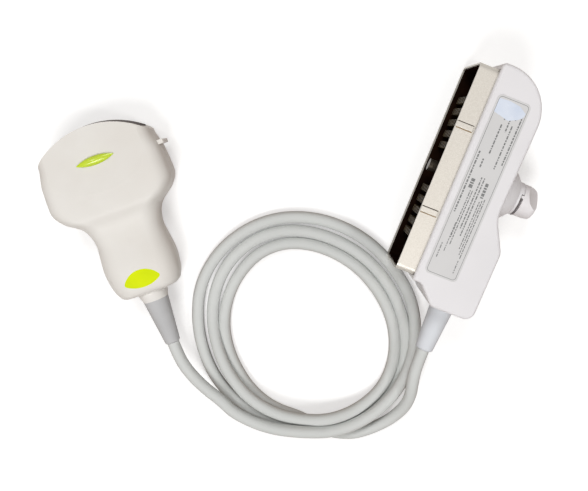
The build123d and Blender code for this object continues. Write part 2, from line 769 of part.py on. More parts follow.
def build_connector_cable_end():
    """The strain relief, the clamp and the bare cable core inside the connector."""
    end = foot_end - connector_boot_length
    neck = foot_end + housing_wall + cable_flange_lift
    flange = neck + connector_boot_seat
    body = Polyline((0, flange), (connector_boot_flange / 2, flange),
                    (connector_boot_flange / 2, neck), (connector_boot_diameter / 2, neck),
                    (connector_boot_diameter / 2, foot_end),
                    (connector_boot_tip / 2, end + boot_tip_chamfer),
                    (connector_boot_tip / 2 - boot_tip_chamfer, end), (0, end), close=True)
    boot = Pos(cable_entry_x, 0, 0) * revolve(make_face(body), Axis.Y)
    write(on_connector(boot), "connector_strain_relief")
    clamp_end = flange + clamp_width
    core = Pos(cable_entry_x, (flange + clamp_end + clamp_width) / 2, 0) * Rot(90, 0, 0) * Cylinder(
        core_diameter / 2, clamp_end + clamp_width - flange)
    ring = Pos(cable_entry_x, (flange + clamp_end) / 2, 0) * Rot(90, 0, 0) * (
        Cylinder(clamp_diameter / 2, clamp_width) - Cylinder(core_diameter / 2, clamp_width))
    write(on_connector(core), "connector_cable_core")
    write(on_connector(ring), "connector_cable_clamp")


def build_label():
    """The label film and the small bright patch on it."""
    top = housing_thickness / 2
    x = label_from_front + label_width / 2
    y = head_end - head_overhang - label_from_head - label_length / 2
    film = extrude(Pos(x, y, top) * RectangleRounded(label_width, label_length, label_corner),
                   amount=label_thickness)
    patch_x = x - label_width / 2 + patch_inset + patch_width / 2
    patch_y = y + label_length / 2 - patch_inset - patch_length / 2
    patch = extrude(Pos(patch_x, patch_y, top + label_thickness)
                    * RectangleRounded(patch_width, patch_length, patch_inset), amount=patch_thickness)
    write(on_connector(film), "label_film")
    write(on_connector(patch), "label_patch")


# Cable

coil_outer_radii = (66.2, 63.6, 62.4, 65.6, 69.2, 70.2, 69.4, 66.6, 65.6, 66.0, 69.6, 70.0)
coil_inner_radii = (48.6, 43.6, 41.8, 42.6, 46.6, 47.6, 45.4, 45.2, 46.2, 51.0, 55.4, 54.6)
hump_from_deg = -121.0
hump_to_deg = -25.0
hump_inner = 52.0
hump_outer = 69.0
hump_height = 2.0 * cable_diameter
top_from_deg = -82.0
top_to_deg = -48.0
top_height = 2.7 * cable_diameter
probe_lead_route = (
    (-28.3, -102.3, 15.0), (-22.4, -109.05, 15.0), (-15.6, -114.7, 14.4), (-7.6, -119.5, 13.5),
    (1.0, -123.3, 12.6), (9.6, -126.1, 12.0),
)
connector_lead_route = (
    (104.1, -51.4, 24.5), (104.1, -61.6, 24.5), (106.2, -71.5, 22.8), (109.3, -80.4, 18.9),
    (110.3, -89.2, 13.8), (108.4, -98.1, 9.0), (104.1, -106.7, 5.4), (97.6, -114.4, 3.5),
    (89.4, -120.6, 3.5),
)


def ring_face(radii):
    """A closed smooth outline about the coil's centre through equally spaced radii."""
    step = 2 * math.pi / len(radii)
    points = [(coil_at_x + radius * math.cos(index * step), coil_at_y + radius * math.sin(index * step))
              for index, radius in enumerate(radii)]
    return make_face(Spline(*points, periodic=True))


def hump(from_deg, to_deg, height):
    """A raised stretch of the coil, where turns cross."""
    span = math.radians(to_deg - from_deg)
    face = make_face(Polyline((hump_inner, 0), (hump_outer, 0), (hump_outer, height), (hump_inner, height),
                              close=True))
    turned = revolve(Plane.XZ * face, Axis.Z, revolution_arc=math.degrees(span))
    return Pos(coil_at_x, coil_at_y, 0) * Rot(0, 0, from_deg) * turned


def cable_tube(route, name):
    """A tube along a hand-set route, of straight runs joined by the largest arcs that fit."""
    radii = []
    for before, here, after in zip(route, route[1:], route[2:]):
        run_in = Vector(*here) - Vector(*before)
        run_out = Vector(*after) - Vector(*here)
        half_turn = math.radians(run_in.get_angle(run_out)) / 2
        radii.append(arc_run_share * min(run_in.length, run_out.length) / math.tan(half_turn))
    path = FilletPolyline(*route, radius=radii)
    start = Plane(origin=path @ 0, z_dir=path % 0)
    tube = sweep(start * Circle(cable_radius), path=path)
    expected = math.pi * cable_radius ** 2 * path.length
    print(name, "radii", [round(radius) for radius in radii], "length", round(path.length, 1),
          "volume share", round(tube.volume / expected, 4))
    return tube


def build_cable():
    """The coil's outer shape and the two uncoiled stretches."""
    coil = extrude(ring_face(coil_outer_radii) - ring_face(coil_inner_radii), amount=cable_diameter)
    coil = coil + hump(hump_from_deg, hump_to_deg, hump_height) + hump(top_from_deg, top_to_deg, top_height)
    write(coil, "cable_coil")
    write(cable_tube(probe_lead_route, "probe lead"), "cable_lead_probe")
    write(cable_tube(connector_lead_route, "connector lead"), "cable_lead_connector")


build_probe()
build_housing()
build_shroud()
build_contacts()
build_lock()
build_connector_cable_end()
build_label()
build_cable()
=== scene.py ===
"""Dresses a convex ultrasound transducer, its coiled cable and its locking connector for rendering.

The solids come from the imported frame. This script gives every shown node a procedural finish, models the
pieces that the solids leave plain, lays the cable, and sets the floor, the lamps and the camera.
"""
import logging
import math
from dataclasses import dataclass, field
from enum import Enum
from typing import Iterable, Sequence

import bpy
from mathutils import Matrix, Quaternion, Vector


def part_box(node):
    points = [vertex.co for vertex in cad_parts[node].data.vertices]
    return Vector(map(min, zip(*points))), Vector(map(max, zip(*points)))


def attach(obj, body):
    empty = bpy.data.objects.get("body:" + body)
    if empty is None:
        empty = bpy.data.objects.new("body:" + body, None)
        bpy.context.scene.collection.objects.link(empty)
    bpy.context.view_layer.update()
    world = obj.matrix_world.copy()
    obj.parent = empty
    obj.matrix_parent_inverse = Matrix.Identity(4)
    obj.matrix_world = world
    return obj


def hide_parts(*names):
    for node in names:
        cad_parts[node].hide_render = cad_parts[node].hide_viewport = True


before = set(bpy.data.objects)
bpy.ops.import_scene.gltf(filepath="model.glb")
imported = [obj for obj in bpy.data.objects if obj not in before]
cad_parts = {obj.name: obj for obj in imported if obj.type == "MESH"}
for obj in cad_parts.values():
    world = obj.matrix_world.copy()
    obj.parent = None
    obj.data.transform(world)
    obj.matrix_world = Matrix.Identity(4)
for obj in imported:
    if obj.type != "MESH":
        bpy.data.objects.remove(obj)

LOG = logging.getLogger("transducer")
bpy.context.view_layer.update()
MM = 0.001
COAT_ROUGHNESS = 0.12
PATCH_DETAIL = 3.0
GRAIN_DETAIL = 2.0
GRAIN_SPAN = (0.3, 0.7)
FLOOR_DROP = 0.0002
SENSOR_WIDTH = 36.0
NEAREST_SEEN = 0.01

Triple = tuple[float, float, float]


class Body(Enum):
    """The rigid bodies that pieces ride on."""

    ROOT = "root"
    LOCK = "lock"


def linear(colour: Triple) -> tuple[float, float, float, float]:
    """Turns a colour written as 0 to 255 screen values into the shader's linear values.

    Args:
        colour: Red, green and blue as they look on a screen.

    Returns:
        Linear red, green and blue, and full alpha.
    """
    shares = [channel / 255.0 for channel in colour]
    red, green, blue = (s / 12.92 if s <= 0.04045 else ((s + 0.055) / 1.055) ** 2.4 for s in shares)
    return red, green, blue, 1.0


@dataclass(frozen=True)
class Finish:
    """A moulded, rubber or coated surface with slow colour variation and fine grain.

    Attributes:
        name: The material's name.
        colour: Main colour, as 0 to 255 screen values.
        shade: The second colour that drifts over the first.
        roughness: Lowest and highest roughness.
        patch_scale: Patches of the second colour per metre.
        grain_scale: Grains per metre.
        grain_depth: Height of the grain in metres.
        metallic: 0 for plastic and rubber, 1 for metal.
        specular: Specular level of the plain surface.
        coat: Weight of a clear coat.
        stretch: How much the grain is squeezed along X, Y and Z, for brushed or drawn metal.
    """

    name: str
    colour: Triple
    shade: Triple
    roughness: tuple[float, float] = (0.4, 0.5)
    patch_scale: float = 30.0
    grain_scale: float = 2600.0
    grain_depth: float = 0.00002
    metallic: float = 0.0
    specular: float = 0.5
    coat: float = 0.0
    stretch: Triple = (1.0, 1.0, 1.0)

    def build(self) -> bpy.types.Material:
        """Builds the material, or returns the one built before under the same name.

        Returns:
            The node material.
        """
        title = f"{self.name}_finish"
        known = bpy.data.materials.get(title)
        if known is not None:
            return known
        material = bpy.data.materials.new(title)
        material.use_nodes = True
        tree = material.node_tree
        shader = tree.nodes["Principled BSDF"]
        shader.inputs["Metallic"].default_value = self.metallic
        shader.inputs["Specular IOR Level"].default_value = self.specular
        shader.inputs["Coat Weight"].default_value = self.coat
        shader.inputs["Coat Roughness"].default_value = COAT_ROUGHNESS
        place = tree.nodes.new("ShaderNodeTexCoord").outputs["Object"]
        squeeze = tree.nodes.new("ShaderNodeMapping")
        squeeze.inputs["Scale"].default_value = self.stretch
        tree.links.new(place, squeeze.inputs["Vector"])
        patches = self.noise(tree, place, self.patch_scale, PATCH_DETAIL)
        tint = self.ramp(tree, patches, linear(self.colour), linear(self.shade))
        grain = self.noise(tree, squeeze.outputs["Vector"], self.grain_scale, GRAIN_DETAIL)
        self.dress(tree, shader, place, tint, grain)
        spread = tree.nodes.new("ShaderNodeMapRange")
        spread.inputs["From Min"].default_value, spread.inputs["From Max"].default_value = GRAIN_SPAN
        spread.inputs["To Min"].default_value = self.roughness[0]
        spread.inputs["To Max"].default_value = self.roughness[1]
        tree.links.new(grain, spread.inputs["Value"])
        tree.links.new(spread.outputs["Result"], shader.inputs["Roughness"])
        return material

    def dress(self, tree: bpy.types.NodeTree, shader: bpy.types.Node, place: bpy.types.NodeSocket,
              tint: bpy.types.NodeSocket, grain: bpy.types.NodeSocket) -> None:
        """Links the colour and the relief. A finish with a pattern of its own overrides this.

        Args:
            tree: The material's node tree.
            shader: Its surface shader.
            place: The object coordinates; not used here.
            tint: The drifting base colour.
            grain: The fine grain.
        """
        tree.links.new(tint, shader.inputs["Base Color"])
        tree.links.new(self.relief(tree, grain, self.grain_depth), shader.inputs["Normal"])

    @staticmethod
    def noise(tree: bpy.types.NodeTree, place: bpy.types.NodeSocket, scale: float,
              detail: float) -> bpy.types.NodeSocket:
        """Adds a noise texture.

        Args:
            tree: The node tree it goes into.
            place: The coordinates it reads.
            scale: Repeats per metre.
            detail: Octaves of finer noise.

        Returns:
            Its factor output.
        """
        texture = tree.nodes.new("ShaderNodeTexNoise")
        texture.inputs["Scale"].default_value = scale
        texture.inputs["Detail"].default_value = detail
        tree.links.new(place, texture.inputs["Vector"])
        return texture.outputs["Fac"]

    @staticmethod
    def ramp(tree: bpy.types.NodeTree, factor: bpy.types.NodeSocket, low: Sequence[float],
             high: Sequence[float], start: float = 0.35, end: float = 0.65) -> bpy.types.NodeSocket:
        """Adds a ramp between two colours.

        Args:
            tree: The node tree it goes into.
            factor: What drives it.
            low: The colour at the low end.
            high: The colour at the high end.
            start: The factor where the low colour ends.
            end: The factor where the high colour begins.

        Returns:
            Its colour output.
        """
        ramp = tree.nodes.new("ShaderNodeValToRGB")
        ramp.color_ramp.elements[0].position = start
        ramp.color_ramp.elements[0].color = low
        ramp.color_ramp.elements[1].position = end
        ramp.color_ramp.elements[1].color = high
        tree.links.new(factor, ramp.inputs["Fac"])
        return ramp.outputs["Color"]

    @staticmethod
    def relief(tree: bpy.types.NodeTree, height: bpy.types.NodeSocket, depth: float) -> bpy.types.NodeSocket:
        """Adds a bump that reads a height.

        Args:
            tree: The node tree it goes into.
            height: The height, 0 to 1.
            depth: Its depth in metres.

        Returns:
            Its normal output.
        """
        bump = tree.nodes.new("ShaderNodeBump")
        bump.inputs["Strength"].default_value = 1.0
        bump.inputs["Distance"].default_value = depth
        tree.links.new(height, bump.inputs["Height"])
        return bump.outputs["Normal"]


@dataclass(frozen=True)
class PaintedSlotShadeFinish(Finish):
    """A moulded surface with painted shade: a dark colour inside one round slot, such as the slot round the
    lock's boss.

    Attributes:
        slot_painted_shade: Dark colour painted inside the slot as its shade.
        slot_start: Row X where the slot starts, in metres.
        slot_end: Row X where it ends.
        slot_axis: Row Y and Z of its axis.
        slot_radius: The slot lies within this radius.
        slot_core: And outside this one.
    """

    slot_painted_shade: Triple = (92, 82, 76)
    slot_start: float = 0.1176
    slot_end: float = 0.11888
    slot_axis: tuple[float, float] = (0.04445, 0.0245)
    slot_radius: float = 0.00905
    slot_core: float = 0.005

    def dress(self, tree: bpy.types.NodeTree, shader: bpy.types.Node, place: bpy.types.NodeSocket,
              tint: bpy.types.NodeSocket, grain: bpy.types.NodeSocket) -> None:
        """Paints shade inside the slot as a dark colour, then links the colour and the relief.

        Args:
            tree: The material's node tree.
            shader: Its surface shader.
            place: The object coordinates.
            tint: The drifting base colour.
            grain: The fine grain.
        """
        split = tree.nodes.new("ShaderNodeSeparateXYZ")
        tree.links.new(place, split.inputs["Vector"])
        along, across, upward = (split.outputs[axis] for axis in "XYZ")
        off_axis = [self.maths(tree, "SUBTRACT", value, centre)
                    for value, centre in zip((across, upward), self.slot_axis)]
        squares = [self.maths(tree, "MULTIPLY", value, value) for value in off_axis]
        reach = self.maths(tree, "ADD", *squares)
        tests = (
            self.maths(tree, "GREATER_THAN", along, self.slot_start),
            self.maths(tree, "LESS_THAN", along, self.slot_end),
            self.maths(tree, "LESS_THAN", reach, self.slot_radius ** 2),
            self.maths(tree, "GREATER_THAN", reach, self.slot_core ** 2),
        )
        # Mask of the slot, where the painted shade goes.
        inside = tests[0]
        for test in tests[1:]:
            inside = self.maths(tree, "MULTIPLY", inside, test)
        mix = tree.nodes.new("ShaderNodeMix")
        mix.data_type = "RGBA"
        tree.links.new(inside, mix.inputs["Factor"])
        tree.links.new(tint, mix.inputs["A"])
        mix.inputs["B"].default_value = linear(self.slot_painted_shade)
        tree.links.new(mix.outputs["Result"], shader.inputs["Base Color"])
        tree.links.new(self.relief(tree, grain, self.grain_depth), shader.inputs["Normal"])

    @staticmethod
    def maths(tree: bpy.types.NodeTree, operation: str, first: bpy.types.NodeSocket,
              second: bpy.types.NodeSocket | float) -> bpy.types.NodeSocket:
        """Adds one sum of two values.

        Args:
            tree: The node tree it goes into.
            operation: Its kind.
            first: The first value.
            second: The second value, a socket or a number.

        Returns:
            Its value output.
        """
        node = tree.nodes.new("ShaderNodeMath")
        node.operation = operation
        tree.links.new(first, node.inputs[0])
        if isinstance(second, float):
            node.inputs[1].default_value = second
        else:
            tree.links.new(second, node.inputs[1])
        return node.outputs["Value"]


PROBE_WHITE = Finish("probe_white", (231, 228, 223), (226, 222, 216), (0.32, 0.4), specular=0.14)
# The connector's shells carry painted shade inside the slot round the lock's boss.
CONNECTOR_WHITE = PaintedSlotShadeFinish("connector_white", (232, 230, 232), (228, 226, 228), (0.36, 0.44),
                                specular=0.14)
KNOB_WHITE = Finish("knob_white", (234, 231, 232), (229, 226, 228), (0.36, 0.44), specular=0.14)
COLLAR_WHITE = Finish("collar_white", (234, 231, 227), (228, 225, 220), (0.4, 0.48), specular=0.14)
MARK_GREEN = Finish("mark_green", (198, 220, 4), (190, 212, 2), (0.2, 0.26), patch_scale=60.0,
                    grain_depth=0.000004, specular=0.5, coat=0.4)
INLAY_GREEN = Finish("inlay_green", (222, 238, 0), (212, 230, 0), (0.4, 0.5), patch_scale=60.0,
                     grain_depth=0.000008, specular=0.06)
LENS_RUBBER = Finish("lens_rubber", (92, 82, 78), (76, 66, 62), (0.45, 0.6), specular=0.1)
BOOT_GREY = Finish("boot_grey", (194, 194, 195), (186, 186, 187), (0.5, 0.6), grain_depth=0.00003,
                   specular=0.08)
BOOT_PALE = Finish("boot_pale", (222, 225, 230), (216, 219, 224), (0.5, 0.6), grain_depth=0.00003,
                   specular=0.08)
CABLE_GREY = Finish("cable_grey", (213, 215, 213), (207, 209, 207), (0.42, 0.52), patch_scale=20.0,
                    grain_scale=1800.0, grain_depth=0.000025, specular=0.03)
SHROUD_METAL = Finish("shroud_metal", (194, 189, 181), (178, 172, 163), (0.36, 0.52), metallic=0.85,
                      patch_scale=3600.0, grain_scale=3000.0, grain_depth=0.00001)
# Painted shade: steel darkened to a dark brown, for the shade inside the connector's mouth.
SHAFT_STEEL_PAINTED_SHADE = Finish("shaft_steel", (92, 84, 74), (72, 64, 56), (0.3, 0.42), metallic=1.0,
                     grain_scale=4000.0, stretch=(1.0, 0.1, 0.1))
SCREW_STEEL = Finish("screw_steel", (168, 168, 166), (150, 150, 148), (0.25, 0.38), metallic=1.0,
                     grain_scale=5000.0)
BUSH_BRASS = Finish("bush_brass", (180, 152, 86), (164, 138, 76), (0.25, 0.36), metallic=1.0)
CONTACT_GOLD = Finish("contact_gold", (76, 63, 38), (34, 26, 16), (0.4, 0.55), metallic=0.5,
                      patch_scale=700.0, specular=0.1)
BLOCK_DARK = Finish("block_dark", (34, 20, 13), (22, 13, 9), (0.55, 0.7), patch_scale=120.0, specular=0.0)
FRAME_BLACK = Finish("frame_black", (36, 36, 38), (28, 28, 30), (0.45, 0.55))
BACKING_DARK = Finish("backing_dark", (44, 44, 46), (34, 34, 36), (0.6, 0.7))
CERAMIC_TAN = Finish("ceramic_tan", (188, 172, 134), (176, 160, 124), (0.5, 0.6), patch_scale=200.0)
FLEX_AMBER = Finish("flex_amber", (178, 116, 40), (160, 102, 34), (0.25, 0.35), coat=0.3)
BOARD_GREEN = Finish("board_green", (32, 88, 54), (26, 74, 45), (0.3, 0.42), coat=0.3, patch_scale=300.0)
CORE_GREY = Finish("core_grey", (128, 130, 130), (112, 114, 114), (0.5, 0.6), patch_scale=900.0)
CLAMP_STEEL = Finish("clamp_steel", (158, 160, 162), (142, 144, 146), (0.28, 0.4), metallic=1.0)
LABEL_PALE = Finish("label_pale", (214, 213, 213), (209, 208, 208), (0.3, 0.38),
                    grain_depth=0.000004, specular=0.2)
# Painted reflection: the pale bluish glare on the label.
LABEL_PAINTED_GLARE = Finish("label_blue", (220, 227, 240), (209, 218, 234), (0.2, 0.3), patch_scale=120.0,
                    grain_depth=0.000004, coat=0.3)
RULE_GREY = Finish("rule_grey", (112, 113, 113), (138, 139, 139), (0.3, 0.4), patch_scale=900.0,
                   grain_depth=0.000002, specular=0.2)
# Painted shadow and painted shade for the lines beside the shroud's keys.
KEY_PAINTED_SHADOW = Finish("key_painted_shadow", (66, 50, 38), (50, 38, 28), (0.5, 0.6), patch_scale=900.0,
                   grain_depth=0.000002, specular=0.1)
KEY_PAINTED_SHADE = Finish("key_painted_shade", (168, 146, 116), (150, 128, 100), (0.4, 0.5), patch_scale=900.0,
                 grain_depth=0.000002, specular=0.1)


def select_only(piece: bpy.types.Object) -> None:
    """Deselects everything, then selects one piece and makes it active.

    Args:
        piece: The piece to select.
    """
    bpy.ops.object.select_all(action="DESELECT")
    piece.select_set(True)
    bpy.context.view_layer.objects.active = piece


def dress(piece: bpy.types.Object, finish: Finish) -> None:
    """Gives a piece one finish all over.

    Args:
        piece: The piece.
        finish: Its finish.
    """
    material = finish.build()
    if not piece.material_slots:
        piece.data.materials.append(material)
    for slot in piece.material_slots:
        slot.material = material


def settle(piece: bpy.types.Object, name: str, finish: Finish, body: Body) -> bpy.types.Object:
    """Names a new piece, applies its place, dresses it and lets it ride on its body.

    Args:
        piece: The piece.
        name: Its name.
        finish: Its finish.
        body: The body that carries it.

    Returns:
        The same piece.
    """
    select_only(piece)
    bpy.ops.object.transform_apply(location=True, rotation=True, scale=True)
    piece.name = name
    piece.data.name = name
    dress(piece, finish)
    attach(piece, body.value)
    LOG.info("%s: %d faces, on %s", name, len(piece.data.polygons), body.value)
    return piece


def thicken(flat: bpy.types.Object, rise: float) -> None:
    """Gives a flat piece its thickness, upwards.

    Args:
        flat: The flat piece.
        rise: Its thickness, in millimetres.
    """
    select_only(flat)
    bpy.ops.object.modifier_add(type="SOLIDIFY")
    flat.modifiers[-1].thickness = rise * MM
    flat.modifiers[-1].offset = 1.0
    bpy.ops.object.modifier_apply(modifier=flat.modifiers[-1].name)


def plate(middle: Triple, width: float, length: float) -> bpy.types.Object:
    """Makes one flat level rectangle.

    Args:
        middle: Its middle, in millimetres.
        width: Its side along X.
        length: Its side along Y.

    Returns:
        The rectangle, active and alone selected.
    """
    bpy.ops.object.select_all(action="DESELECT")
    bpy.ops.mesh.primitive_plane_add(size=1.0, location=[value * MM for value in middle])
    flat = bpy.context.active_object
    flat.scale = (width * MM, length * MM, 1.0)
    bpy.ops.object.transform_apply(location=False, rotation=False, scale=True)
    return flat


def joined(parts: Sequence[bpy.types.Object]) -> bpy.types.Object:
    """Joins several pieces into the first.

    Args:
        parts: The pieces.

    Returns:
        The joined piece.
    """
    bpy.ops.object.select_all(action="DESELECT")
    for part in parts:
        part.select_set(True)
    bpy.context.view_layer.objects.active = parts[0]
    bpy.ops.object.join()
    return bpy.context.active_object


@dataclass
class Cable:
    """The cable: out of the probe, three loose turns, and up into the connector.

    Attributes:
        radius: Radius of the cable, in millimetres.
        length: Its length between the two strain reliefs, in metres; not used.
        centre: Middle of the coil on the floor.
        first_deg: Angle of the coil's first point about that middle.
        step_deg: Angle from one point to the next.
        lead_out_deg: Angle of the coil's last point.
        probe_lead: Points from the probe's strain relief to the coil.
        connector_lead: Points from the connector's strain relief to the coil.
        turn_radii: Distance of each of the coil's points from its middle.
        turn_heights: Height of each of them.
    """

    radius: float = 3.5
    length: float = 1.285
    centre: tuple[float, float] = (40.8, -67.9)
    first_deg: float = -108.0
    step_deg: float = 18.0
    lead_out_deg: float = 1021.0
    probe_lead: tuple[Triple, ...] = (
        (-28.3, -102.3, 15.0), (-22.4, -109.05, 15.0), (-15.6, -114.7, 14.4), (-7.6, -119.5, 13.5),
        (1.0, -123.3, 12.6), (9.6, -126.1, 12.0),
    )
    connector_lead: tuple[Triple, ...] = (
        (104.1, -51.4, 24.5), (104.1, -61.6, 24.5), (106.2, -71.5, 22.8), (109.3, -80.4, 18.9),
        (110.3, -89.2, 13.8), (108.4, -98.1, 9.0), (104.1, -106.7, 5.4), (97.6, -114.4, 3.5),
        (89.4, -120.6, 3.5),
    )
    turn_radii: tuple[float, ...] = (
        66.8, 64.2, 60.9, 64.3, 65.1, 64.7, 64.3, 63.5, 62.8, 60.8, 60.9, 61.9, 63.8, 66.0, 67.1, 67.5, 67.0,
        64.7, 63.3, 63.2,
        62.4, 61.8, 61.9, 60.9, 64.4, 65.6, 62.2, 57.8, 54.8, 52.9, 52.5, 53.1, 55.3, 58.4, 59.7, 59.4, 57.9,
        55.9, 53.9, 53.8,
        54.3, 54.9, 55.4, 56.5, 58.4, 58.6, 55.1, 51.3, 47.8, 45.7, 45.4, 46.0, 48.2, 50.8, 51.6, 50.4, 49.5,
        49.1, 48.8, 49.4, 51.8, 54.5, 56.2, 66.0,
    )
    turn_heights: tuple[float, ...] = (
        10.9, 12.4, 16.0, 12.0, 10.3, 10.3, 10.2, 7.6, 3.9, 3.5, 3.5, 3.5, 3.5, 3.5, 3.5, 3.5, 3.5,
        3.5, 3.5, 3.5,
        3.5, 4.2, 8.6, 5.0, 3.5, 3.5, 3.5, 3.5, 3.5, 3.5, 3.5, 3.5, 3.5, 3.5, 3.5, 3.5, 3.5, 4.2, 8.2, 9.0,
        10.3, 10.5, 11.0, 12.2, 6.6, 3.6, 3.5, 3.5, 3.5, 3.5, 3.5, 3.5, 3.5, 3.5, 3.5, 3.5, 3.5,
        3.5, 3.5, 3.5,
        3.5, 3.5, 3.5, 3.5,
    )

    def route(self) -> list[Triple]:
        """Puts the lead, the coil's turns and the other lead in one row of control points.

        Returns:
            The control points, in millimetres.
        """
        points = list(self.probe_lead)
        last = len(self.turn_radii) - 1
        for index, (radius, height) in enumerate(zip(self.turn_radii, self.turn_heights)):
            degrees = self.first_deg + index * self.step_deg if index < last else self.lead_out_deg
            angle = math.radians(degrees)
            points.append((self.centre[0] + radius * math.cos(angle),
                           self.centre[1] + radius * math.sin(angle), height))
        points.extend(reversed(self.connector_lead))
        return points

    def build(self) -> bpy.types.Object:
        """Lays the cable as one smooth open spline.

        Returns:
            The cable.
        """
        curve = bpy.data.curves.new("cable", "CURVE")
        curve.dimensions = "3D"
        route = self.route()
        spline = curve.splines.new("NURBS")
        spline.points.add(len(route) - 1)
        for point, (x, y, z) in zip(spline.points, route):
            point.co = (x * MM, y * MM, z * MM, 1.0)
        spline.order_u = 3
        spline.use_endpoint_u = True
        spline.resolution_u = 6
        curve.bevel_depth = self.radius * MM
        curve.bevel_resolution = 6
        curve.use_fill_caps = True
        cable = bpy.data.objects.new("cable", curve)
        bpy.context.scene.collection.objects.link(cable)
        dress(cable, CABLE_GREY)
        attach(cable, Body.ROOT.value)
        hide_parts("cable_coil", "cable_lead_probe", "cable_lead_connector")
        LOG.info("cable: %d control points", len(route))
        return cable


@dataclass
class HandProbe:
    """The hand probe's shells, lens, marks, collar and strain relief.

    Attributes:
        inner: Finish of each piece inside the shells.
    """

    inner: dict[str, Finish] = field(default_factory=lambda: {
        "transducer_array": CERAMIC_TAN, "array_backing": BACKING_DARK, "array_carrier": FRAME_BLACK,
        "array_flex_upper": FLEX_AMBER, "array_flex_lower": FLEX_AMBER, "probe_board": BOARD_GREEN,
        "probe_cable_core": CORE_GREY, "probe_cable_clamp": CLAMP_STEEL})

    def build(self) -> None:
        """Dresses every piece of the probe."""
        for shell in ("probe_housing_upper", "probe_housing_lower"):
            dress(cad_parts[shell], PROBE_WHITE)
        dress(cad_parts["head_marker"], MARK_GREEN)
        dress(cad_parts["grip_inlay"], INLAY_GREEN)
        dress(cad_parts["acoustic_lens"], LENS_RUBBER)
        dress(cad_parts["probe_collar"], COLLAR_WHITE)
        dress(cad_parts["probe_strain_relief"], BOOT_GREY)
        for node, finish in self.inner.items():
            dress(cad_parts[node], finish)
        LOG.info("hand probe dressed")


@dataclass
class Connector:
    """The connector's shells, shroud, contacts, label and cable end.

    Attributes:
        plain: Finish of each of the smaller pieces.
    """

    plain: dict[str, Finish] = field(default_factory=lambda: {
        "shell_screws": SCREW_STEEL, "block_screws": SCREW_STEEL, "contact_block": BLOCK_DARK,
        "contacts": CONTACT_GOLD, "connector_board": BOARD_GREEN, "connector_cable_core": CORE_GREY,
        "connector_cable_clamp": CLAMP_STEEL, "label_film": LABEL_PALE})

    def build(self) -> None:
        """Dresses every piece of the connector that doesn't turn."""
        for shell in ("connector_shell_upper", "connector_shell_lower"):
            dress(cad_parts[shell], CONNECTOR_WHITE)
        dress(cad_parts["connector_shroud"], SHROUD_METAL)
        dress(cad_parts["shaft_bush"], BUSH_BRASS)
        dress(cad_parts["connector_strain_relief"], BOOT_PALE)
        for node, finish in self.plain.items():
            dress(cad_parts[node], finish)
        LabelRules().build()
        # A painted reflection on the label.
        LabelPaintedGlare().build()
        # Painted shadow and shade lines at the shroud's keys.
        KeyPaintedShade().build()
        LOG.info("connector dressed")


@dataclass
class LabelRules:
    """Plain dashes in rows and a thin border on the label, in place of its print.

    Attributes:
        rows: Distance from the label's front edge, both ends along the label and width, in millimetres.
        dashes: Lengths that the dashes of a row go through in turn.
        dash_gap: Space between two dashes.
        rise: How far the print stands above the label.
        border_inset: Distance of the border line from the label's edge.
        border_width: Width of the border line.
        corner: Radius of the border's corners.
    """

    rows: tuple[tuple[float, float, float, float], ...] = (
        (15.6, 6.0, 33.0, 0.75), (12.9, 5.0, 10.0, 0.7), (12.6, 13.0, 36.0, 0.7), (10.4, 7.0, 17.0, 0.7),
        (7.6, 3.5, 11.5, 0.6), (7.3, 14.0, 30.0, 0.75), (5.6, 33.0, 38.0, 0.8), (2.4, 30.0, 63.0, 0.8),
        (5.0, 44.0, 49.0, 2.0), (5.8, 50.0, 76.0, 0.5), (6.9, 50.0, 80.0, 0.5), (8.7, 42.0, 70.0, 0.65),
        (10.2, 42.0, 74.0, 0.65), (12.6, 44.0, 52.0, 1.6), (12.4, 54.0, 80.0, 0.5), (13.5, 53.0, 83.0, 0.5),
        (14.6, 52.0, 85.0, 0.5), (3.0, 80.0, 88.0, 0.5), (5.4, 68.0, 84.0, 0.4), (14.4, 86.0, 93.0, 0.5),
    )
    dashes: tuple[float, ...] = (1.5, 0.8, 2.1, 1.1, 0.6, 1.8, 0.9, 1.3)
    dash_gap: float = 0.45
    rise: float = 0.03
    border_inset: float = 0.9
    border_width: float = 0.22
    corner: float = 1.8

    def __post_init__(self) -> None:
        """Reads the label's edges and its upper side from the film."""
        low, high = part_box("label_film")
        self.front, self.head, self.level = low.x / MM, high.y / MM, high.z / MM
        self.label_size = ((high.x - low.x) / MM, (high.y - low.y) / MM)

    def build(self) -> bpy.types.Object:
        """Lays the rows of dashes and the border as one mesh.

        Returns:
            The print.
        """
        parts = [self.border()]
        for row, (across, start, end, width) in enumerate(self.rows):
            at, turn = start, row
            while at < end:
                length = min(self.dashes[turn % len(self.dashes)], end - at)
                parts.append(self.bar(across, at, at + length, width))
                at += length + self.dash_gap
                turn += 1
        return settle(joined(parts), "label_rules", RULE_GREY, Body.ROOT)

    def bar(self, across: float, start: float, end: float, width: float) -> bpy.types.Object:
        """Makes one dash.

        Args:
            across: Distance of its middle from the label's front edge.
            start: Its nearer end, from the label's upper end.
            end: Its farther end.
            width: Its width.

        Returns:
            The dash.
        """
        middle = (self.front + across, self.head - (start + end) / 2, self.level)
        bar = plate(middle, width, end - start)
        thicken(bar, self.rise)
        return bar

    def border(self) -> bpy.types.Object:
        """Makes the thin line that runs round the label inside its edge.

        Returns:
            The border line.
        """
        width, length = (side - 2 * self.border_inset for side in self.label_size)
        middle = (self.front + self.label_size[0] / 2, self.head - self.label_size[1] / 2, self.level)
        border = plate(middle, width, length)
        bpy.ops.object.mode_set(mode="EDIT")
        bpy.ops.mesh.select_all(action="SELECT")
        bpy.ops.mesh.bevel(offset=self.corner * MM, segments=6, affect="VERTICES")
        bpy.ops.mesh.select_all(action="SELECT")
        bpy.ops.mesh.inset(thickness=self.border_width * MM)
        bpy.ops.mesh.delete(type="FACE")
        bpy.ops.object.mode_set(mode="OBJECT")
        thicken(border, self.rise)
        return border


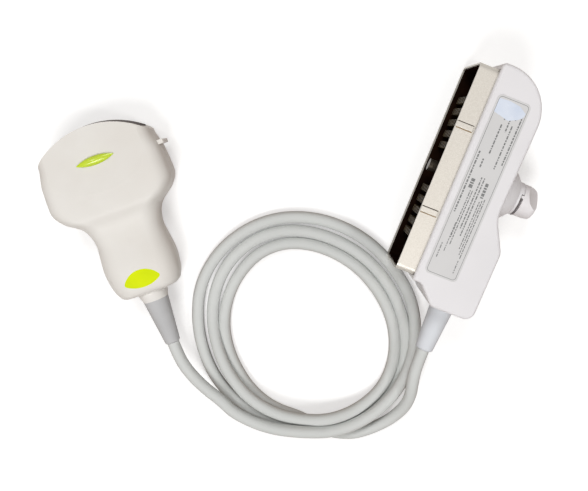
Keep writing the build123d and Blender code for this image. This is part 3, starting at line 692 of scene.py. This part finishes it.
@dataclass
class LabelPaintedGlare:
    """A painted reflection: a pale bluish sheet with uneven sides at the label's upper end, shaped as a
    glare on the label.

    Attributes:
        corners: Its corners on the label, in millimetres.
        rise: Its thickness.
        corner: Radius of its corners.
    """

    corners: tuple[tuple[float, float], ...] = (
        (83.0, 80.4), (87.0, 79.6), (91.1, 78.5), (95.6, 80.6), (97.9, 82.6), (98.4, 84.8), (94.3, 87.3),
        (88.7, 88.0), (83.0, 87.6),
    )
    rise: float = 0.06
    corner: float = 0.5

    def build(self) -> bpy.types.Object:
        """Makes the painted reflection and shows it in the plain patch's place.

        Returns:
            The patch.
        """
        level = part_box("label_film")[1].z
        bpy.ops.object.select_all(action="DESELECT")
        bpy.ops.mesh.primitive_circle_add(vertices=len(self.corners), fill_type="NGON")
        patch = bpy.context.active_object
        for vertex, (x, y) in zip(patch.data.vertices, self.corners):
            vertex.co = (x * MM, y * MM, level)
        bpy.ops.object.mode_set(mode="EDIT")
        bpy.ops.mesh.select_all(action="SELECT")
        bpy.ops.mesh.bevel(offset=self.corner * MM, segments=4, affect="VERTICES")
        bpy.ops.mesh.select_all(action="SELECT")
        bpy.ops.mesh.normals_make_consistent(inside=False)
        bpy.ops.object.mode_set(mode="OBJECT")
        if patch.data.polygons[0].normal.z < 0:
            patch.data.flip_normals()
        thicken(patch, self.rise)
        settle(patch, "painted_label_glare", LABEL_PAINTED_GLARE, Body.ROOT)
        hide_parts("label_patch")
        return patch


@dataclass
class KeyPaintedShade:
    """Painted shadow and shade at the shroud's keys: a dark line of painted shadow above each key and a tan
    line of painted shade below it.

    Attributes:
        key_middles: Row Y of the middle of each key, in millimetres.
        key_half: Half a key's width.
        start: Row X of the keys' front ends.
        length: Length of the lines.
        shadow_width: Width of the dark line of painted shadow.
        shade_width: Width of the tan line of painted shade.
        rise: How far the lines stand above the shroud.
        level: Height of the shroud's upper side.
    """

    key_middles: tuple[float, ...] = (68.48, 22.12)
    key_half: float = 1.5
    start: float = 68.6
    length: float = 8.7
    shadow_width: float = 0.34
    shade_width: float = 0.5
    rise: float = 0.03
    level: float = 46.8

    def build(self) -> None:
        """Makes the painted shadow lines and painted shade lines of both keys."""
        # Each key gets a dark line of painted shadow above it and a tan line of painted shade below it.
        kinds = (("painted_key_shadows", KEY_PAINTED_SHADOW, self.shadow_width, 1), ("painted_key_shades", KEY_PAINTED_SHADE, self.shade_width, -1))
        for name, finish, width, side in kinds:
            bars = []
            for middle in self.key_middles:
                offset = side * (self.key_half + width / 2)
                bar = plate((self.start + self.length / 2, middle + offset, self.level), self.length, width)
                thicken(bar, self.rise)
                bars.append(bar)
            settle(joined(bars), name, finish, Body.ROOT)


@dataclass
class TurnLock:
    """The knob, its shaft and what turns with them."""

    def build(self) -> None:
        """Dresses every piece that turns with the knob."""
        dress(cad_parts["lock_knob"], KNOB_WHITE)
        # Shaft and cross pin take the steel darkened as painted shade.
        dress(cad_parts["lock_shaft"], SHAFT_STEEL_PAINTED_SHADE)
        dress(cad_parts["lock_cross_pin"], SHAFT_STEEL_PAINTED_SHADE)
        dress(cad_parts["knob_screw"], SCREW_STEEL)
        dress(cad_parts["shaft_retaining_ring"], SCREW_STEEL)
        LOG.info("lock dressed")


@dataclass
class Studio:
    """The pale floor, the soft lamps and the camera.

    Attributes:
        eye: The camera's place, in millimetres.
        target: What it looks at.
        upward: The direction that is up in the picture.
        lens: Focal length, in millimetres on a 36 mm wide sensor.
        floor_half: Half the floor's side, in metres.
        lamps: Each lamp's name, place in metres, size and power.
        sky_strength: Strength of the room's own light.
        sky_tint: Its colour.
        table_tint: Linear colour that the floor throws back onto the object.
        floor_white: Strength of the floor's own white, near the object and far from it; the weaker white
            near the object is painted shade round it.
        floor_reach: Distances between which it rises, in metres.
        floor_diffuse: Part of the floor's white that the lamps light, which keeps the shadow.
    """

    eye: Triple = (-3.7, 42.1, 450.0)
    target: Triple = (16.6, -27.2, 0.0)
    upward: Triple = (-0.363, 0.932, 0.0)
    lens: float = 48.1
    floor_half: float = 6.0
    lamps: tuple[tuple[str, Triple, float, float], ...] = (
        ("near_lamp", (0.05, -0.62, 1.1), 0.55, 6.7),
        ("far_lamp", (-0.35, 0.65, 1.1), 0.5, 4.8),
        ("left_lamp", (-0.62, 0.1, 0.95), 0.12, 0.9),
        ("right_lamp", (0.74, 0.0, 1.1), 0.2, 2.2),
    )
    sky_strength: float = 0.24
    sky_tint: Triple = (1.0, 0.95, 0.9)
    table_tint: Triple = (0.22, 0.12, 0.06)
    floor_white: tuple[float, float] = (0.42, 1.0)
    floor_reach: tuple[float, float] = (0.22, 0.6)
    floor_diffuse: float = 0.8

    def build(self) -> None:
        """Builds the whole studio."""
        self.floor()
        self.light()
        self.camera()
        bpy.context.scene.view_settings.view_transform = "Standard"

    def floor(self) -> None:
        """Lays a pale floor that shows white to the camera and in reflections, with painted shade round the
        object where its own white is weaker, and keeps shadows.
        """
        bpy.ops.object.select_all(action="DESELECT")
        bpy.ops.mesh.primitive_plane_add(size=2 * self.floor_half, location=(0.0, 0.0, -FLOOR_DROP))
        floor = bpy.context.active_object
        floor.name = "floor"
        material = bpy.data.materials.new("floor_white")
        material.use_nodes = True
        tree = material.node_tree
        table = tree.nodes["Principled BSDF"]
        table.inputs["Base Color"].default_value = (*self.table_tint, 1.0)
        table.inputs["Roughness"].default_value = 0.9
        table.inputs["Specular IOR Level"].default_value = 0.1
        shade = tree.nodes.new("ShaderNodeBsdfDiffuse")
        shade.inputs["Color"].default_value = (*[self.floor_diffuse] * 3, 1.0)
        white = tree.nodes.new("ShaderNodeEmission")
        white.inputs["Color"].default_value = (1.0, 1.0, 1.0, 1.0)
        reach = tree.nodes.new("ShaderNodeVectorMath")
        reach.operation = "LENGTH"
        tree.links.new(tree.nodes.new("ShaderNodeTexCoord").outputs["Object"], reach.inputs[0])
        # Painted shade: the floor's own white falls from far away to near the object.
        rise = tree.nodes.new("ShaderNodeMapRange")
        rise.inputs["From Min"].default_value, rise.inputs["From Max"].default_value = self.floor_reach
        rise.inputs["To Min"].default_value, rise.inputs["To Max"].default_value = self.floor_white
        tree.links.new(reach.outputs["Value"], rise.inputs["Value"])
        tree.links.new(rise.outputs["Result"], white.inputs["Strength"])
        pale = tree.nodes.new("ShaderNodeAddShader")
        tree.links.new(shade.outputs["BSDF"], pale.inputs[0])
        tree.links.new(white.outputs["Emission"], pale.inputs[1])
        blend = tree.nodes.new("ShaderNodeMixShader")
        tree.links.new(self.seen_directly(tree), blend.inputs["Fac"])
        tree.links.new(table.outputs["BSDF"], blend.inputs[1])
        tree.links.new(pale.outputs["Shader"], blend.inputs[2])
        tree.links.new(blend.outputs["Shader"], tree.nodes["Material Output"].inputs["Surface"])
        floor.data.materials.append(material)

    def light(self) -> None:
        """Hangs the soft lamps and sets the sky."""
        for name, place, size, power in self.lamps:
            lamp = bpy.data.lights.new(name, "AREA")
            lamp.shape = "DISK"
            lamp.size = size
            lamp.energy = power
            holder = bpy.data.objects.new(name, lamp)
            holder.location = place
            holder.rotation_euler = (-Vector(place)).to_track_quat("-Z", "Y").to_euler()
            bpy.context.scene.collection.objects.link(holder)
        world = bpy.data.worlds.new("pale_room")
        world.use_nodes = True
        tree = world.node_tree
        dim = tree.nodes["Background"]
        dim.inputs["Color"].default_value = (*self.sky_tint, 1.0)
        dim.inputs["Strength"].default_value = self.sky_strength
        white = tree.nodes.new("ShaderNodeBackground")
        white.inputs["Color"].default_value = (1.0, 1.0, 1.0, 1.0)
        white.inputs["Strength"].default_value = 1.0
        blend = tree.nodes.new("ShaderNodeMixShader")
        tree.links.new(self.seen_directly(tree), blend.inputs["Fac"])
        tree.links.new(dim.outputs["Background"], blend.inputs[1])
        tree.links.new(white.outputs["Background"], blend.inputs[2])
        tree.links.new(blend.outputs["Shader"], tree.nodes["World Output"].inputs["Surface"])
        bpy.context.scene.world = world

    @staticmethod
    def seen_directly(tree: bpy.types.NodeTree) -> bpy.types.NodeSocket:
        """Adds nodes that are 1 for camera, glossy and transmission rays and 0 for the rest.

        Args:
            tree: The node tree they go into.

        Returns:
            Their value output.
        """
        paths = tree.nodes.new("ShaderNodeLightPath")
        seen = paths.outputs["Is Camera Ray"]
        for ray in ("Is Glossy Ray", "Is Transmission Ray"):
            wider = tree.nodes.new("ShaderNodeMath")
            wider.operation = "MAXIMUM"
            tree.links.new(seen, wider.inputs[0])
            tree.links.new(paths.outputs[ray], wider.inputs[1])
            seen = wider.outputs["Value"]
        return seen

    def camera(self) -> None:
        """Sets the camera at the photograph's place and turn."""
        camera = bpy.data.objects.new("camera", bpy.data.cameras.new("camera"))
        camera.data.lens = self.lens
        camera.data.sensor_width = SENSOR_WIDTH
        eye, target = Vector(self.eye) * MM, Vector(self.target) * MM
        back = (eye - target).normalized()
        right = Vector(self.upward).cross(back).normalized()
        up = back.cross(right)
        turn = turned_axes(right, up, back)
        camera.location = eye
        camera.rotation_mode = "QUATERNION"
        camera.rotation_quaternion = turn
        camera.data.clip_start = NEAREST_SEEN
        bpy.context.scene.collection.objects.link(camera)
        bpy.context.scene.camera = camera


def turned_axes(right: Vector, up: Vector, back: Vector) -> Quaternion:
    """Turns three axes into a rotation.

    Args:
        right: The rotated X axis.
        up: The rotated Y axis.
        back: The rotated Z axis.

    Returns:
        The rotation as a quaternion.
    """
    return Matrix((right, up, back)).transposed().to_quaternion()


def main() -> None:
    """Builds every sub-assembly in order."""
    logging.basicConfig(level=logging.INFO, format="%(message)s")
    HandProbe().build()
    Connector().build()
    TurnLock().build()
    Cable().build()
    Studio().build()


if __name__ == "__main__":
    main()
